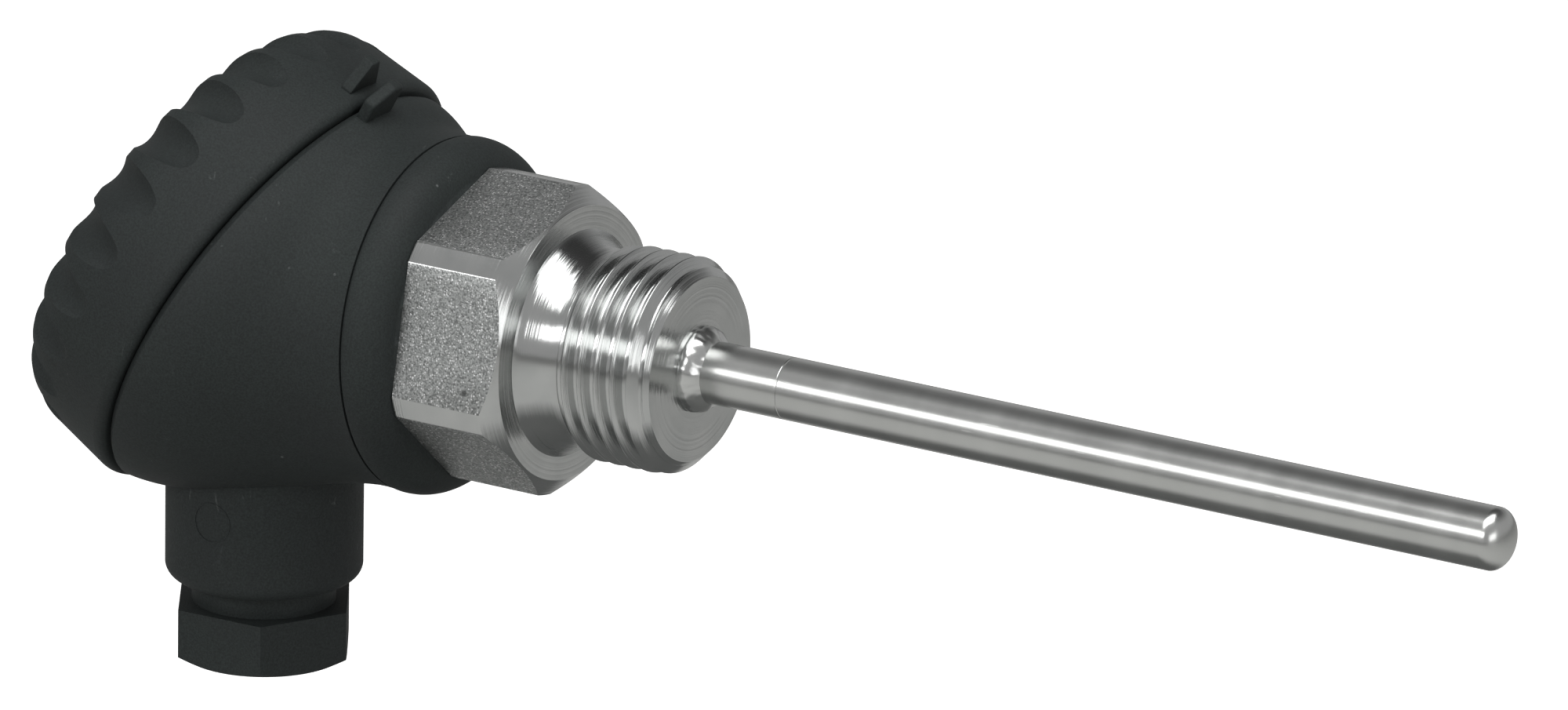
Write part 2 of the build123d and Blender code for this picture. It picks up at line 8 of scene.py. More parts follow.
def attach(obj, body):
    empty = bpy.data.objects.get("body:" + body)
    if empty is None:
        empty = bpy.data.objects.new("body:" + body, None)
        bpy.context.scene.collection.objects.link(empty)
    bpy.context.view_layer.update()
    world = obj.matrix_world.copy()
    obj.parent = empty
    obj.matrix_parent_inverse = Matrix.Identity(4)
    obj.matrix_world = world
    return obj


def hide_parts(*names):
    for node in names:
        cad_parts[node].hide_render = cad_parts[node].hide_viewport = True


MM = 0.001

# The plug, in mm and degrees, as in the solids
THREAD_R = 10.4775
THREAD_DEPTH = 1.162
THREAD_PITCH = 1.814
STUD_L = 14.0
STUD_FACE_R = 8.9
NECK_L = 3.4
NECK_BASE_R = 10.7
NECK_EDGE = 0.3
NECK_BOW = 0.12
SEAL_FACE_R = 13.275
HEX_AF = 27.0
HEX_CORNER_R = 15.0
HEX_L = 11.2
HEX_CHAMFER = 1.4
HEX_TURN = 18.6
SPIGOT_R = 8.0
SPIGOT_END = -23.55
SPIGOT_EDGE = 0.8
LEAD_BORE_R = 2.6
TUBE_SEAT = -2.0
TUBE_R = 3.0
TUBE_BORE_R = 3.05

# The plug's helical thread, where the solids have plain rings
THREAD_START = 3.9
START_SLOPE = 1.1
THREAD_FLANK = 90 - 55 / 2
THREAD_ROUND = 0.2491
ROOT_FLAT = 0.16
CREST_ROUND = 0.115
THREAD_TURN = 272.0
THREAD_TURNS = 7

# Marks on the metal: the pickled flats' reach from the axis, a speck on one of them, a scribed line on the tube
FLATS_MIN_R = 13.4
FLATS_MAX_R = 14.97
SPECK_PLACE = (-3.3, -14.2, -1.9)
SCRIBED_LINE_X = 24.2

# The ring behind the hexagon, a hair smaller than its solid, and its rounded edges
RING_L = 4.25
RING_R = 17.35
RING_BACK_ROUND = 0.6
RING_FRONT_ROUND = 3.4

# The gland's boss as in the solids, and the mark that an ejector pin left on it
GLAND_X = -35.5
BOSS_R = 9.6
MARK_R = 1.95
MARK_WIDTH = 0.12
MARK_PROUD = 0.05
MARK_Z = -22.25
MARK_TURN = 2.0


def linear(hex_colour):
    """An sRGB hex colour as linear values with alpha."""
    parts = [int(hex_colour[i:i + 2], 16) / 255 for i in (1, 3, 5)]
    return [p / 12.92 if p <= 0.04045 else ((p + 0.055) / 1.055) ** 2.4 for p in parts] + [1.0]


def add_node(tree, kind, inputs=None, **settings):
    """One node with its settings. inputs gives sockets a value or a link from another node's output."""
    node = tree.nodes.new(kind)
    for name, value in settings.items():
        setattr(node, name, value)
    for name, value in (inputs or {}).items():
        if isinstance(value, bpy.types.NodeSocket):
            tree.links.new(value, node.inputs[name])
        else:
            node.inputs[name].default_value = value
    return node


def new_material(name):
    """An empty node material with its shader and its object coordinates."""
    material = bpy.data.materials.new(name)
    material.use_nodes = True
    tree = material.node_tree
    tree.nodes.clear()
    shader = add_node(tree, "ShaderNodeBsdfPrincipled")
    output = add_node(tree, "ShaderNodeOutputMaterial", {"Surface": shader.outputs["BSDF"]})
    output.is_active_output = True
    place = add_node(tree, "ShaderNodeTexCoord").outputs["Object"]
    return material, tree, shader, place


def colour_steps(node, steps):
    """Gives a colour ramp its stops, as (position, colour)."""
    ramp = node.color_ramp
    while len(ramp.elements) > 1:
        ramp.elements.remove(ramp.elements[-1])
    ramp.elements[0].position = steps[0][0]
    ramp.elements[0].color = steps[0][1]
    for position, colour in steps[1:]:
        ramp.elements.new(position).color = colour


def moulded_polyamide():
    """Glass-filled polyamide, moulded in an eroded tool: charcoal black, matt, with a fine even grain."""
    material, tree, shader, place = new_material("moulded_charcoal_polyamide")
    # Clouds 11 mm across, faint in the tint and in the roughness
    cloud = add_node(tree, "ShaderNodeTexNoise", {"Vector": place, "Scale": 90.0, "Detail": 4.0})
    tint = add_node(tree, "ShaderNodeValToRGB", {"Fac": cloud.outputs["Fac"]})
    colour_steps(tint, [(0.3, linear("#1c2121")), (0.7, linear("#222827"))])
    # Dust: specks of about 0.3 mm that sit far apart
    dust = add_node(tree, "ShaderNodeTexVoronoi", {"Vector": place, "Scale": 330.0})
    speck = add_node(tree, "ShaderNodeMapRange", {
        "Value": dust.outputs["Distance"], "From Min": 0.035, "From Max": 0.06, "To Min": 0.35, "To Max": 0.0,
    })
    rare = add_node(tree, "ShaderNodeTexNoise", {"Vector": place, "Scale": 170.0, "Detail": 1.0})
    few = add_node(tree, "ShaderNodeMapRange", {
        "Value": rare.outputs["Fac"], "From Min": 0.58, "From Max": 0.66,
    })
    dusty = add_node(tree, "ShaderNodeMath", {0: speck.outputs["Result"], 1: few.outputs["Result"]},
                     operation="MULTIPLY")
    skin = add_node(tree, "ShaderNodeMix", {
        "Factor": dusty.outputs[0], "A": tint.outputs["Color"], "B": linear("#8c8f8f"),
    }, data_type="RGBA")
    # Pale scuffs up to 2 mm long, few and faint, and a fine speckle of 0.2 mm
    streaks = add_node(tree, "ShaderNodeMapping", {"Vector": place, "Scale": (1.0, 1.0, 0.35)})
    rubbed = add_node(tree, "ShaderNodeTexNoise", {
        "Vector": streaks.outputs["Vector"], "Scale": 900.0, "Detail": 3.0, "Distortion": 1.2,
    })
    scuff = add_node(tree, "ShaderNodeMapRange", {
        "Value": rubbed.outputs["Fac"], "From Min": 0.66, "From Max": 0.76, "To Min": 0.0, "To Max": 0.22,
    })
    patch = add_node(tree, "ShaderNodeTexNoise", {"Vector": place, "Scale": 70.0, "Detail": 2.0})
    handled = add_node(tree, "ShaderNodeMapRange", {
        "Value": patch.outputs["Fac"], "From Min": 0.52, "From Max": 0.62,
    })
    scuffed = add_node(tree, "ShaderNodeMath", {0: scuff.outputs["Result"], 1: handled.outputs["Result"]},
                       operation="MULTIPLY")
    worn = add_node(tree, "ShaderNodeMix", {
        "Factor": scuffed.outputs[0], "A": skin.outputs["Result"], "B": linear("#7b7f7e"),
    }, data_type="RGBA")
    speckle = add_node(tree, "ShaderNodeTexNoise", {"Vector": place, "Scale": 5000.0, "Detail": 1.0})
    light = add_node(tree, "ShaderNodeMapRange", {
        "Value": speckle.outputs["Fac"], "From Min": 0.3, "From Max": 0.7, "To Min": 0.72, "To Max": 1.28,
    })
    speckled = add_node(tree, "ShaderNodeVectorMath", {
        0: worn.outputs["Result"], "Scale": light.outputs["Result"],
    }, operation="SCALE")
    # Eroded tool grain, 0.25 mm
    grain = add_node(tree, "ShaderNodeTexNoise", {"Vector": place, "Scale": 4000.0, "Detail": 2.0})
    bump = add_node(tree, "ShaderNodeBump", {
        "Height": grain.outputs["Fac"], "Strength": 0.35, "Distance": 0.00004,
    })
    rough = add_node(tree, "ShaderNodeMapRange", {
        "Value": cloud.outputs["Fac"], "From Min": 0.3, "From Max": 0.7, "To Min": 0.68, "To Max": 0.76,
    })
    tree.links.new(speckled.outputs["Vector"], shader.inputs["Base Color"])
    tree.links.new(rough.outputs["Result"], shader.inputs["Roughness"])
    tree.links.new(bump.outputs["Normal"], shader.inputs["Normal"])
    shader.inputs["IOR"].default_value = 1.53
    shader.inputs["Specular IOR Level"].default_value = 0.38
    return material


def turned_stainless():
    """Austenitic stainless from a drawn hexagon bar.

    It is turned bright all round, which draws highlights out across the marks. The bar's flats were left
    pickled, so they are dull, and their sparkle is painted: some crystals get a white base colour.
    """
    material, tree, shader, place = new_material("turned_and_pickled_stainless")
    axes = add_node(tree, "ShaderNodeSeparateXYZ", {"Vector": place})
    along = axes.outputs["X"]
    square_y = add_node(tree, "ShaderNodeMath", {0: axes.outputs["Y"], 1: axes.outputs["Y"]},
                        operation="MULTIPLY")
    square_z = add_node(tree, "ShaderNodeMath", {
        0: axes.outputs["Z"], 1: axes.outputs["Z"], 2: square_y.outputs[0],
    }, operation="MULTIPLY_ADD")
    radius = add_node(tree, "ShaderNodeMath", {0: square_z.outputs[0]}, operation="SQRT")
    # The flats of the bar: inside the turned corners, outside spigot and thread, facing across the axis
    surface = add_node(tree, "ShaderNodeNewGeometry")
    facing = add_node(tree, "ShaderNodeSeparateXYZ", {"Vector": surface.outputs["True Normal"]})
    lean = add_node(tree, "ShaderNodeMath", {0: facing.outputs["X"]}, operation="ABSOLUTE")
    across = add_node(tree, "ShaderNodeMath", {0: lean.outputs[0], 1: 0.05}, operation="LESS_THAN")
    inside = add_node(tree, "ShaderNodeMath", {0: radius.outputs[0], 1: FLATS_MAX_R * MM},
                      operation="LESS_THAN")
    outside = add_node(tree, "ShaderNodeMath", {0: radius.outputs[0], 1: FLATS_MIN_R * MM},
                       operation="GREATER_THAN")
    ring = add_node(tree, "ShaderNodeMath", {0: inside.outputs[0], 1: outside.outputs[0]},
                    operation="MULTIPLY")
    flats = add_node(tree, "ShaderNodeMath", {0: ring.outputs[0], 1: across.outputs[0]}, operation="MULTIPLY")
    # Turning marks: rings about 0.3 mm apart along the axis and on the faces, as coarse as it takes to show
    turned = add_node(tree, "ShaderNodeCombineXYZ", {"X": along, "Y": radius.outputs[0]})
    marks = add_node(tree, "ShaderNodeTexNoise", {"Vector": turned.outputs[0], "Scale": 3400.0, "Detail": 4.0})
    # Pickled skin: grains of 0.2 mm, and crystals 0.2 mm apart, some of which get a painted glint
    pits = add_node(tree, "ShaderNodeTexNoise", {"Vector": place, "Scale": 5000.0, "Detail": 2.0})
    crystals = add_node(tree, "ShaderNodeTexVoronoi", {"Vector": place, "Scale": 4600.0})
    chance = add_node(tree, "ShaderNodeSeparateXYZ", {"Vector": crystals.outputs["Color"]})
    chosen = add_node(tree, "ShaderNodeMapRange", {
        "Value": chance.outputs["X"], "From Min": 0.45, "From Max": 1.0,
    })
    glint = add_node(tree, "ShaderNodeMapRange", {
        "Value": crystals.outputs["Distance"], "From Min": 0.3, "From Max": 0.5, "To Min": 1.0, "To Max": 0.0,
    })
    sparkle = add_node(tree, "ShaderNodeMath", {0: glint.outputs["Result"], 1: chosen.outputs["Result"]},
                       operation="MULTIPLY")
    glints = add_node(tree, "ShaderNodeMath", {0: sparkle.outputs[0], 1: flats.outputs[0]},
                      operation="MULTIPLY")
    turned_bump = add_node(tree, "ShaderNodeBump", {
        "Height": marks.outputs["Fac"], "Strength": 0.9, "Distance": 0.00005,
    })
    crust_bump = add_node(tree, "ShaderNodeBump", {
        "Height": pits.outputs["Fac"], "Strength": 0.5, "Distance": 0.00006,
    })
    normal = add_node(tree, "ShaderNodeMix", {
        "Factor": flats.outputs[0], "A": turned_bump.outputs["Normal"], "B": crust_bump.outputs["Normal"],
    }, data_type="VECTOR")
    rough = add_node(tree, "ShaderNodeMapRange", {"Value": flats.outputs[0], "To Min": 0.17, "To Max": 0.45})
    stain = add_node(tree, "ShaderNodeTexNoise", {"Vector": place, "Scale": 260.0, "Detail": 5.0})
    tint = add_node(tree, "ShaderNodeValToRGB", {"Fac": stain.outputs["Fac"]})
    colour_steps(tint, [(0.3, linear("#bcbebd")), (0.7, linear("#c8c9c8"))])
    crust = add_node(tree, "ShaderNodeValToRGB", {"Fac": pits.outputs["Fac"]})
    colour_steps(crust, [(0.35, linear("#7f8180")), (0.6, linear("#b6b8b7"))])
    dull = add_node(tree, "ShaderNodeMix", {
        "Factor": flats.outputs[0], "A": tint.outputs["Color"], "B": crust.outputs["Color"],
    }, data_type="RGBA")
    # Painted glint: the chosen crystals on the flats get a white base colour, whatever the lamps
    skin = add_node(tree, "ShaderNodeMix", {
        "Factor": glints.outputs[0], "A": dull.outputs["Result"], "B": linear("#ffffff"),
    }, data_type="RGBA")
    # One dark speck of scale on the front flat, 0.6 mm across
    speck_place = tuple(c * MM for c in SPECK_PLACE)
    from_speck = add_node(tree, "ShaderNodeVectorMath", {0: place, 1: speck_place}, operation="DISTANCE")
    speck = add_node(tree, "ShaderNodeMapRange", {
        "Value": from_speck.outputs["Value"], "From Min": 0.2 * MM, "From Max": 0.42 * MM,
        "To Min": 0.7, "To Max": 0.0,
    })
    scaled = add_node(tree, "ShaderNodeMix", {
        "Factor": speck.outputs["Result"], "A": skin.outputs["Result"], "B": linear("#3c3d3c"),
    }, data_type="RGBA")
    # The lathe's marks run round the axis and stretch reflections across them
    back_z = add_node(tree, "ShaderNodeMath", {0: axes.outputs["Z"], 1: -1.0}, operation="MULTIPLY")
    around = add_node(tree, "ShaderNodeCombineXYZ", {"Y": back_z.outputs[0], "Z": axes.outputs["Y"]})
    across_marks = add_node(tree, "ShaderNodeVectorMath", {
        0: surface.outputs["Normal"], 1: around.outputs["Vector"],
    }, operation="CROSS_PRODUCT")
    stretch = add_node(tree, "ShaderNodeMapRange", {"Value": flats.outputs[0], "To Min": 0.6, "To Max": 0.0})
    tree.links.new(across_marks.outputs["Vector"], shader.inputs["Tangent"])
    tree.links.new(stretch.outputs["Result"], shader.inputs["Anisotropic"])
    tree.links.new(scaled.outputs["Result"], shader.inputs["Base Color"])
    tree.links.new(rough.outputs["Result"], shader.inputs["Roughness"])
    tree.links.new(normal.outputs["Result"], shader.inputs["Normal"])
    shader.inputs["Metallic"].default_value = 1.0
    return material


def drawn_stainless():
    """Drawn stainless tube, polished round and round: bright, with faint rings and hairline scratches."""
    material, tree, shader, place = new_material("polished_stainless_tube")
    stretch = add_node(tree, "ShaderNodeMapping", {"Vector": place, "Scale": (6.0, 0.6, 0.6)})
    rings = add_node(tree, "ShaderNodeTexNoise", {
        "Vector": stretch.outputs["Vector"], "Scale": 900.0, "Detail": 4.0,
    })
    # Scratches that run along the tube, about 0.1 mm wide and up to 4 mm long
    lengthwise = add_node(tree, "ShaderNodeMapping", {"Vector": place, "Scale": (0.05, 1.0, 1.0)})
    hair = add_node(tree, "ShaderNodeTexNoise", {
        "Vector": lengthwise.outputs["Vector"], "Scale": 5200.0, "Detail": 2.0,
    })
    scratch = add_node(tree, "ShaderNodeMapRange", {
        "Value": hair.outputs["Fac"], "From Min": 0.68, "From Max": 0.74, "To Min": 0.0, "To Max": -1.0,
    })
    relief = add_node(tree, "ShaderNodeMath", {
        0: rings.outputs["Fac"], 1: 0.35, 2: scratch.outputs["Result"],
    }, operation="MULTIPLY_ADD")
    # The line that is scribed round the tube, 0.15 mm wide
    along = add_node(tree, "ShaderNodeSeparateXYZ", {"Vector": place}).outputs["X"]
    off = add_node(tree, "ShaderNodeMath", {0: along, 1: SCRIBED_LINE_X * MM}, operation="SUBTRACT")
    away = add_node(tree, "ShaderNodeMath", {0: off.outputs[0]}, operation="ABSOLUTE")
    line = add_node(tree, "ShaderNodeMapRange", {
        "Value": away.outputs[0], "From Min": 0.04 * MM, "From Max": 0.12 * MM,
        "To Min": -14.0, "To Max": 0.0,
    })
    height = add_node(tree, "ShaderNodeMath", {0: relief.outputs[0], 1: line.outputs["Result"]},
                      operation="ADD")
    bump = add_node(tree, "ShaderNodeBump", {
        "Height": height.outputs[0], "Strength": 0.3, "Distance": 0.00001,
    })
    smear = add_node(tree, "ShaderNodeTexNoise", {
        "Vector": stretch.outputs["Vector"], "Scale": 30.0, "Detail": 4.0,
    })
    rough = add_node(tree, "ShaderNodeMapRange", {
        "Value": smear.outputs["Fac"], "From Min": 0.3, "From Max": 0.7, "To Min": 0.2, "To Max": 0.27,
    })
    tint = add_node(tree, "ShaderNodeValToRGB", {"Fac": smear.outputs["Fac"]})
    colour_steps(tint, [(0.3, linear("#c5c6c4")), (0.7, linear("#d0d1cf"))])
    tree.links.new(tint.outputs["Color"], shader.inputs["Base Color"])
    tree.links.new(rough.outputs["Result"], shader.inputs["Roughness"])
    tree.links.new(bump.outputs["Normal"], shader.inputs["Normal"])
    shader.inputs["Metallic"].default_value = 1.0
    return material


def grained_metal(name, dark, light, roughness, grain, depth):
    """Plain metal with a cloudy tint and a fine grain, its size in mm."""
    material, tree, shader, place = new_material(name)
    cloud = add_node(tree, "ShaderNodeTexNoise", {"Vector": place, "Scale": 400.0, "Detail": 4.0})
    tint = add_node(tree, "ShaderNodeValToRGB", {"Fac": cloud.outputs["Fac"]})
    colour_steps(tint, [(0.3, linear(dark)), (0.7, linear(light))])
    fine = add_node(tree, "ShaderNodeTexNoise", {"Vector": place, "Scale": 1 / (grain * MM), "Detail": 2.0})
    bump = add_node(tree, "ShaderNodeBump", {
        "Height": fine.outputs["Fac"], "Strength": 0.4, "Distance": depth * MM,
    })
    rough = add_node(tree, "ShaderNodeMapRange", {
        "Value": cloud.outputs["Fac"], "From Min": 0.3, "From Max": 0.7,
        "To Min": roughness - 0.04, "To Max": roughness + 0.04,
    })
    tree.links.new(tint.outputs["Color"], shader.inputs["Base Color"])
    tree.links.new(rough.outputs["Result"], shader.inputs["Roughness"])
    tree.links.new(bump.outputs["Normal"], shader.inputs["Normal"])
    shader.inputs["Metallic"].default_value = 1.0
    return material


def grained_solid(name, dark, light, roughness, grain, depth, ior):
    """Ceramic or rubber with a cloudy tint and a fine grain, its size in mm."""
    material, tree, shader, place = new_material(name)
    cloud = add_node(tree, "ShaderNodeTexNoise", {"Vector": place, "Scale": 220.0, "Detail": 4.0})
    tint = add_node(tree, "ShaderNodeValToRGB", {"Fac": cloud.outputs["Fac"]})
    colour_steps(tint, [(0.3, linear(dark)), (0.7, linear(light))])
    fine = add_node(tree, "ShaderNodeTexNoise", {"Vector": place, "Scale": 1 / (grain * MM), "Detail": 2.0})
    bump = add_node(tree, "ShaderNodeBump", {
        "Height": fine.outputs["Fac"], "Strength": 0.4, "Distance": depth * MM,
    })
    tree.links.new(tint.outputs["Color"], shader.inputs["Base Color"])
    tree.links.new(bump.outputs["Normal"], shader.inputs["Normal"])
    shader.inputs["Roughness"].default_value = roughness
    shader.inputs["IOR"].default_value = ior
    return material


def select_only(piece):
    """Makes a piece the one that the next operators work on."""
    bpy.ops.object.select_all(action="DESELECT")
    piece.select_set(True)
    bpy.context.view_layer.objects.active = piece


def start_piece(name):
    """A single vertex at the origin in edit mode, the start of a traced outline."""
    bpy.ops.object.select_all(action="DESELECT")
    bpy.ops.mesh.primitive_plane_add(size=MM)
    piece = bpy.context.object
    piece.name = name
    piece.data.name = name
    bpy.ops.object.mode_set(mode="EDIT")
    bpy.ops.mesh.merge(type="CENTER")
    return piece


def trace(points):
    """Extrudes the selected vertex along an outline of (x, radius) in mm, in the XZ plane."""
    here = Vector((0, 0, 0))
    for count, (x, r) in enumerate(points):
        there = Vector((x, 0, r)) * MM
        if count == 0:
            bpy.ops.transform.translate(value=there)
        else:
            bpy.ops.mesh.extrude_region_move(TRANSFORM_OT_translate={"value": there - here})
        here = there


def turn_piece(name, outline, steps=160):
    """A closed (x, radius) outline, spun round the probe's axis and welded where it closes."""
    piece = start_piece(name)
    trace(outline + outline[:1])
    bpy.ops.mesh.select_all(action="SELECT")
    bpy.ops.mesh.remove_doubles(threshold=0.001 * MM)
    bpy.ops.mesh.spin(steps=steps, angle=2 * math.pi, center=(0, 0, 0), axis=(1, 0, 0))
    bpy.ops.mesh.select_all(action="SELECT")
    bpy.ops.mesh.remove_doubles(threshold=0.001 * MM)
    bpy.ops.mesh.normals_make_consistent(inside=False)
    bpy.ops.object.mode_set(mode="OBJECT")
    return piece


def apply_modifiers(piece):
    """Applies all of a piece's modifiers in their order."""
    select_only(piece)
    for modifier in list(piece.modifiers):
        bpy.ops.object.modifier_apply(modifier=modifier.name)


def combine(piece, tool, operation):
    """Cuts or intersects a piece with a tool piece, which then goes."""
    modifier = piece.modifiers.new(operation.lower(), "BOOLEAN")
    modifier.operation = operation
    modifier.object = tool
    modifier.solver = "EXACT"
    apply_modifiers(piece)
    bpy.data.objects.remove(tool)


def finish_piece(piece, body, material, angle=30):
    """Smooths a finished piece, gives it its material and slot and lets it ride on its body."""
    select_only(piece)
    bpy.ops.object.shade_smooth_by_angle(angle=math.radians(angle))
    piece.data.materials.clear()
    piece.data.materials.append(material)
    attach(piece, body)


def thread_groove():
    """A cutter for the pipe thread's groove: a 55 degree V, rounded at root and crests, screwed along X."""
    root = THREAD_R - THREAD_DEPTH
    outline = []
    for side, turns in ((-1, (-THREAD_FLANK, -42, -21, 0)), (1, (0, 21, 42, THREAD_FLANK))):
        for turn in turns:
            angle = math.radians(turn)
            outline.append((side * ROOT_FLAT / 2 + THREAD_ROUND * math.sin(angle),
                            root + THREAD_ROUND * (1 - math.cos(angle))))
    crest = []
    for turn in (THREAD_FLANK, 42, 22, 7):
        angle = math.radians(turn)
        crest.append((THREAD_PITCH / 2 - CREST_ROUND * math.sin(angle),
                      THREAD_R - CREST_ROUND * (1 - math.cos(angle))))
    width, clear = crest[-1][0], THREAD_R + 0.4
    outline += crest + [(width, clear), (-width, clear)] + [(-x, r) for x, r in reversed(crest)]
    groove = start_piece("thread_groove")
    trace([(NECK_L + x, r) for x, r in outline + outline[:1]])
    bpy.ops.mesh.select_all(action="SELECT")
    bpy.ops.mesh.remove_doubles(threshold=0.001 * MM)
    bpy.ops.object.mode_set(mode="OBJECT")
    screw = groove.modifiers.new("screw", "SCREW")
    screw.axis = "X"
    screw.screw_offset = THREAD_PITCH * MM
    screw.iterations = THREAD_TURNS
    screw.steps = 128
    screw.render_steps = 128
    apply_modifiers(groove)
    bpy.ops.object.mode_set(mode="EDIT")
    bpy.ops.mesh.select_all(action="SELECT")
    bpy.ops.mesh.fill_holes(sides=0)
    bpy.ops.mesh.select_all(action="SELECT")
    bpy.ops.mesh.normals_make_consistent(inside=False)
    bpy.ops.object.mode_set(mode="OBJECT")
    groove.rotation_euler.x = math.radians(THREAD_TURN)
    bpy.ops.object.transform_apply(location=True, rotation=True, scale=True)
    return groove


def plug():
    """Plug: turned outline, the hexagon's flats, then the screwed groove of the thread."""
    root = THREAD_R - THREAD_DEPTH
    neck = []
    for step in range(13):
        share = step / 12
        straight = NECK_BASE_R + (root - NECK_BASE_R) * share
        neck.append((NECK_EDGE + (NECK_L - NECK_EDGE) * share,
                     straight - 4 * NECK_BOW * share * (1 - share)))
    piece = turn_piece("plug", [
        (SPIGOT_END, LEAD_BORE_R),
        (SPIGOT_END, SPIGOT_R - SPIGOT_EDGE),
        (SPIGOT_END + SPIGOT_EDGE, SPIGOT_R),
        (-HEX_L, SPIGOT_R),
        (-HEX_L, HEX_CORNER_R),
        (-HEX_CHAMFER, HEX_CORNER_R),
        (0.0, SEAL_FACE_R),
        (0.0, NECK_BASE_R + NECK_EDGE),
        *neck,
        (THREAD_START, root),
        (THREAD_START + START_SLOPE * THREAD_DEPTH, THREAD_R),
        (STUD_L - THREAD_R + STUD_FACE_R, THREAD_R),
        (STUD_L, STUD_FACE_R),
        (STUD_L, TUBE_BORE_R),
        (TUBE_SEAT, TUBE_BORE_R),
        (TUBE_SEAT, LEAD_BORE_R),
    ], steps=192)
    bpy.ops.object.select_all(action="DESELECT")
    bpy.ops.mesh.primitive_cylinder_add(
        vertices=6, radius=HEX_AF / 2 / math.cos(math.pi / 6) * MM, depth=60 * MM,
    )
    prism = bpy.context.object
    prism.rotation_euler = (Matrix.Rotation(math.radians(HEX_TURN), 3, "X")
                            @ Matrix.Rotation(math.pi / 2, 3, "Y")).to_euler()
    bpy.ops.object.transform_apply(location=True, rotation=True, scale=True)
    combine(piece, prism, "INTERSECT")
    combine(piece, thread_groove(), "DIFFERENCE")
    return piece


def weld():
    """Weld bead: one uneven roll of melt, steep on the plug's face, that runs out on the tube."""
    # Measured from the plug's face and the tube's skin, and sunk a little into both
    outline = [(STUD_L + x, TUBE_R + r) for x, r in (
        (-0.2, -0.25), (-0.2, 1.12), (0.06, 1.08), (0.25, 1.13), (0.5, 1.12), (0.78, 1.02), (1.05, 0.85),
        (1.3, 0.64), (1.52, 0.42), (1.7, 0.22), (1.86, 0.06), (2.0, -0.06), (2.1, -0.25),
    )]
    piece = turn_piece("weld", outline, steps=144)
    melt = bpy.data.textures.new("melt", "CLOUDS")
    melt.noise_scale = 1.3 * MM
    melt.noise_depth = 1
    uneven = piece.modifiers.new("uneven", "DISPLACE")
    uneven.texture = melt
    uneven.texture_coords = "LOCAL"
    uneven.strength = 0.36 * MM
    uneven.mid_level = 0.5
    soft = piece.modifiers.new("soft", "SMOOTH")
    soft.factor = 0.5
    soft.iterations = 2
    apply_modifiers(piece)
    return piece


def rounded_ring(solid):
    """The ring between hexagon and head, with its moulded edges rounded: a copy of the solid, turned down."""
    ring = solid.copy()
    ring.data = ring.data.copy()
    ring.name = "rounded_ring"
    bpy.context.scene.collection.objects.link(ring)
    ring.hide_set(False)
    select_only(ring)
    bpy.ops.object.mode_set(mode="EDIT")
    bpy.ops.mesh.select_all(action="SELECT")
    bpy.ops.mesh.remove_doubles(threshold=0.001 * MM)
    bpy.ops.object.mode_set(mode="OBJECT")
    back, front = -HEX_L - RING_L, -HEX_L
    clear = 1
    outline = [(back - clear, RING_R - RING_BACK_ROUND)]
    for step in range(9):
        angle = math.pi / 2 * step / 8
        outline.append((back + RING_BACK_ROUND * (1 - math.cos(angle)),
                        RING_R - RING_BACK_ROUND * (1 - math.sin(angle))))
    for step in range(13):
        angle = math.pi / 2 * (1 - step / 12)
        outline.append((front - RING_FRONT_ROUND * (1 - math.cos(angle)),
                        RING_R - RING_FRONT_ROUND * (1 - math.sin(angle))))
    outline += [(front + clear, RING_R - RING_FRONT_ROUND), (front + clear, RING_R + 2 * clear),
                (back - clear, RING_R + 2 * clear)]
    combine(ring, turn_piece("ring_cutter", outline, steps=192), "DIFFERENCE")
    return ring


def ejector_mark():
    """The fine ring that an ejector pin left on the boss: a short tube, trimmed just above the boss's skin."""
    inner, outer = MARK_R - MARK_WIDTH / 2, MARK_R + MARK_WIDTH / 2
    start, end = 7, 11
    mark = turn_piece("ejector_mark", [(start, inner), (end, inner), (end, outer), (start, outer)], steps=64)
    place = Vector((GLAND_X, 0, MARK_Z)) * MM
    mark.rotation_euler.z = math.radians(MARK_TURN - 90)
    mark.location = place
    bpy.ops.object.transform_apply(location=True, rotation=True, scale=True)
    bpy.ops.object.select_all(action="DESELECT")
    bpy.ops.mesh.primitive_cylinder_add(vertices=256, radius=(BOSS_R + MARK_PROUD) * MM, depth=10 * MM)
    skin = bpy.context.object
    skin.location = place
    bpy.ops.object.transform_apply(location=True, rotation=True, scale=True)
    combine(mark, skin, "INTERSECT")
    return mark


def area_lamp(name, place, aim, width, height, radiance):
    """A softbox of that radiance; watts follow from its area."""
    lamp = bpy.data.lights.new(name, "AREA")
    lamp.shape = "RECTANGLE"
    lamp.size = width
    lamp.size_y = height
    lamp.energy = radiance * math.pi * width * height
    box = bpy.data.objects.new(name, lamp)
    bpy.context.scene.collection.objects.link(box)
    box.location = place
    box.rotation_euler = (Vector(aim) - Vector(place)).to_track_quat("-Z", "Y").to_euler()
    box.visible_camera = False


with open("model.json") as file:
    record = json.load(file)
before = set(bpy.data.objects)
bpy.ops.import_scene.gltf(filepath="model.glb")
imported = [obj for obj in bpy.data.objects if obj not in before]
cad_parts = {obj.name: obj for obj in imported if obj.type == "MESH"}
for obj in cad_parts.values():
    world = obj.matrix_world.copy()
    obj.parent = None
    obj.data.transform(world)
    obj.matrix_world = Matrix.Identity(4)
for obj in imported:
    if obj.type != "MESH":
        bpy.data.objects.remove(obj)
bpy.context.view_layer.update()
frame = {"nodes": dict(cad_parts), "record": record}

# Camera where the photograph was taken from, 1.36 m away with a long lens
azimuth = math.radians(32.876)
elevation = math.radians(17.885)
roll = math.radians(1.073)
distance = 1.36014
looks_at = Vector((23.338, 0, 3.167)) * MM
camera_data = bpy.data.cameras.new("camera")
camera_data.lens = 329.16
camera_data.sensor_width = 36
camera_data.clip_end = 100
camera = bpy.data.objects.new("camera", camera_data)
bpy.context.scene.collection.objects.link(camera)
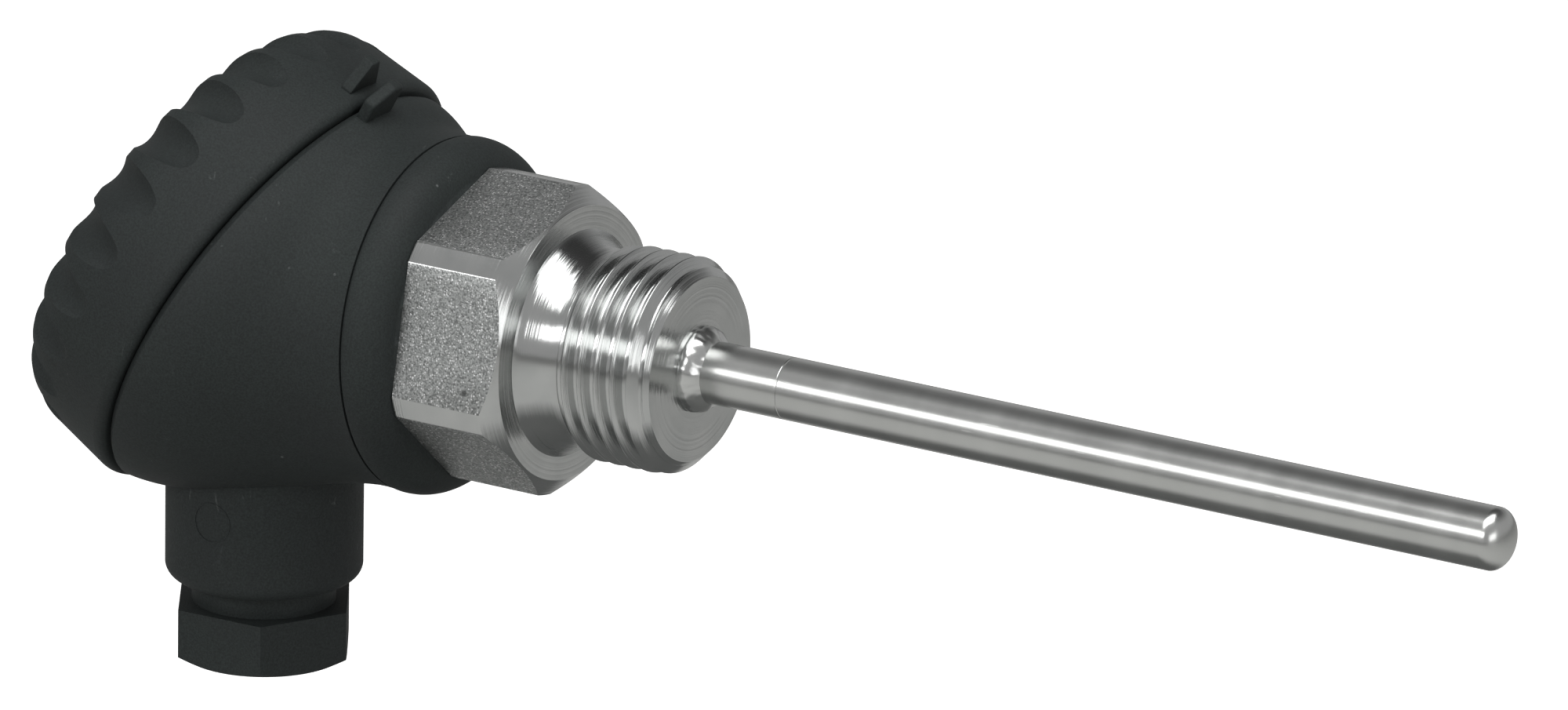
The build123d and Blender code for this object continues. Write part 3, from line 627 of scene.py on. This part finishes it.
camera.location = distance * Vector((
    math.sin(azimuth) * math.cos(elevation), -math.cos(azimuth) * math.cos(elevation), math.sin(elevation),
))
aim = looks_at - camera.location
camera.rotation_mode = "QUATERNION"
camera.rotation_quaternion = aim.to_track_quat("-Z", "Y") @ Quaternion((0, 0, 1), roll)
bpy.context.scene.camera = camera

# Materials for the CAD nodes
polyamide = moulded_polyamide()
stainless = turned_stainless()
tube_steel = drawn_stainless()
# Weld metal, left as it froze: bright, softly rippled
weld_metal = grained_metal("frozen_weld_metal", "#c8c9c8", "#d8d9d7", 0.22, 0.6, 0.01)
# Zinc-plated steel, barrel plated: pale grey with a soft sheen
zinc = grained_metal("zinc_plated_steel", "#b4b5b3", "#c3c4c3", 0.34, 0.3, 0.006)
# Machined brass, a little dull from handling: warm yellow, soft highlights
brass = grained_metal("machined_brass", "#c9a35a", "#d6b36a", 0.28, 0.25, 0.005)
# Annealed nickel wire: grey with a warm tinge
nickel = grained_metal("nickel_wire", "#b3aea6", "#c0bbb2", 0.3, 0.2, 0.004)
# Steatite ceramic, fired without glaze: off-white and matt
ceramic = grained_solid("steatite_ceramic", "#e2ddd0", "#ebe7dc", 0.55, 0.3, 0.01, 1.6)
# Nitrile rubber, moulded: near black and matt
rubber = grained_solid("nitrile_rubber", "#141414", "#1b1b1b", 0.6, 0.3, 0.01, 1.52)
finishes = {
    "black_plastic": polyamide, "turned_stainless": stainless, "polished_stainless": tube_steel,
    "weld_metal": weld_metal, "black_rubber": rubber, "zinc_steel": zinc, "white_ceramic": ceramic,
    "terminal_brass": brass, "nickel_wire": nickel,
}
for part in frame["record"]["subparts"]:
    mesh = frame["nodes"][part["node"]].data
    mesh.materials.clear()
    mesh.materials.append(finishes[part["material_slot"]])

# Pieces that carry more shape than their solids
plug_piece = plug()
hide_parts("process_fitting")
finish_piece(plug_piece, "probe", stainless)
weld_piece = weld()
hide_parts("weld_bead")
finish_piece(weld_piece, "probe", weld_metal, angle=60)
ring_piece = rounded_ring(frame["nodes"]["neck_ring"])
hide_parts("neck_ring")
finish_piece(ring_piece, "probe", polyamide)
finish_piece(ejector_mark(), "probe", polyamide)

# Floor, well below the probe that is held by its thread. To the camera it is white. In reflections it is pale,
# and grey in a patch below the probe, which is a painted shadow, as in the photograph's reflections.
bpy.ops.object.select_all(action="DESELECT")
bpy.ops.mesh.primitive_plane_add(size=12, location=(0, 0, -0.16))
floor = bpy.context.object
floor.name = "floor"
floor_material, tree, shader, place = new_material("pale_floor")
# Painted shadow: the floor's colour is darker grey within 0.11 m of a point below the probe, pale beyond 0.18 m
from_below = add_node(tree, "ShaderNodeVectorMath", {0: place, 1: (0.03, 0.04, 0.0)}, operation="DISTANCE")
away = add_node(tree, "ShaderNodeMapRange", {
    "Value": from_below.outputs["Value"], "From Min": 0.11, "From Max": 0.18,
})
shade = add_node(tree, "ShaderNodeMix", {
    "Factor": away.outputs["Result"], "A": linear("#707170"), "B": linear("#d6d6d4"),
}, data_type="RGBA")
tree.links.new(shade.outputs["Result"], shader.inputs["Base Color"])
shader.inputs["Roughness"].default_value = 0.9
seen = add_node(tree, "ShaderNodeLightPath").outputs["Is Camera Ray"]
lift = add_node(tree, "ShaderNodeMath", {0: seen, 1: 0.9}, operation="MULTIPLY")
shader.inputs["Emission Color"].default_value = (1, 1, 1, 1)
tree.links.new(lift.outputs[0], shader.inputs["Emission Strength"])
floor.data.materials.append(floor_material)

# Room: pale towards the horizon, dark above and behind, white to the camera
world = bpy.data.worlds.new("room")
bpy.context.scene.world = world
world.use_nodes = True
tree = world.node_tree
tree.nodes.clear()
toward = add_node(tree, "ShaderNodeTexCoord").outputs["Generated"]
dark_side = add_node(tree, "ShaderNodeVectorMath", {0: toward, 1: (0.06, 0.42, 0.905)},
                     operation="DOT_PRODUCT")
room = add_node(tree, "ShaderNodeMapRange", {
    "Value": dark_side.outputs["Value"], "From Min": 0.63, "From Max": 0.93, "To Min": 0.42, "To Max": 0.05,
})
rays = add_node(tree, "ShaderNodeLightPath")
shown = add_node(tree, "ShaderNodeMath", {
    0: rays.outputs["Is Camera Ray"], 1: rays.outputs["Is Transmission Ray"],
}, operation="MAXIMUM")
strength = add_node(tree, "ShaderNodeMix", {
    "Factor": shown.outputs[0], "A": room.outputs["Result"], "B": 1.0,
}, data_type="FLOAT")
background = add_node(tree, "ShaderNodeBackground", {
    "Color": (1, 1, 1, 1), "Strength": strength.outputs["Result"],
})
add_node(tree, "ShaderNodeOutputWorld", {"Surface": background.outputs["Background"]})

# Three softboxes: a long one in front at the camera's height, one overhead and one at the probe's tip end
area_lamp("front_softbox", (-0.16, -0.93, 0.45), (0, 0, 0), 1.1, 0.27, 3.3)
area_lamp("top_softbox", (0.16, -0.1, 0.6), (0.05, 0, 0), 0.7, 0.4, 3.4)
area_lamp("right_softbox", (1.3, -0.35, 0.2), (0, 0, 0), 0.75, 0.4, 1.6)

bpy.context.scene.view_settings.view_transform = "Standard"
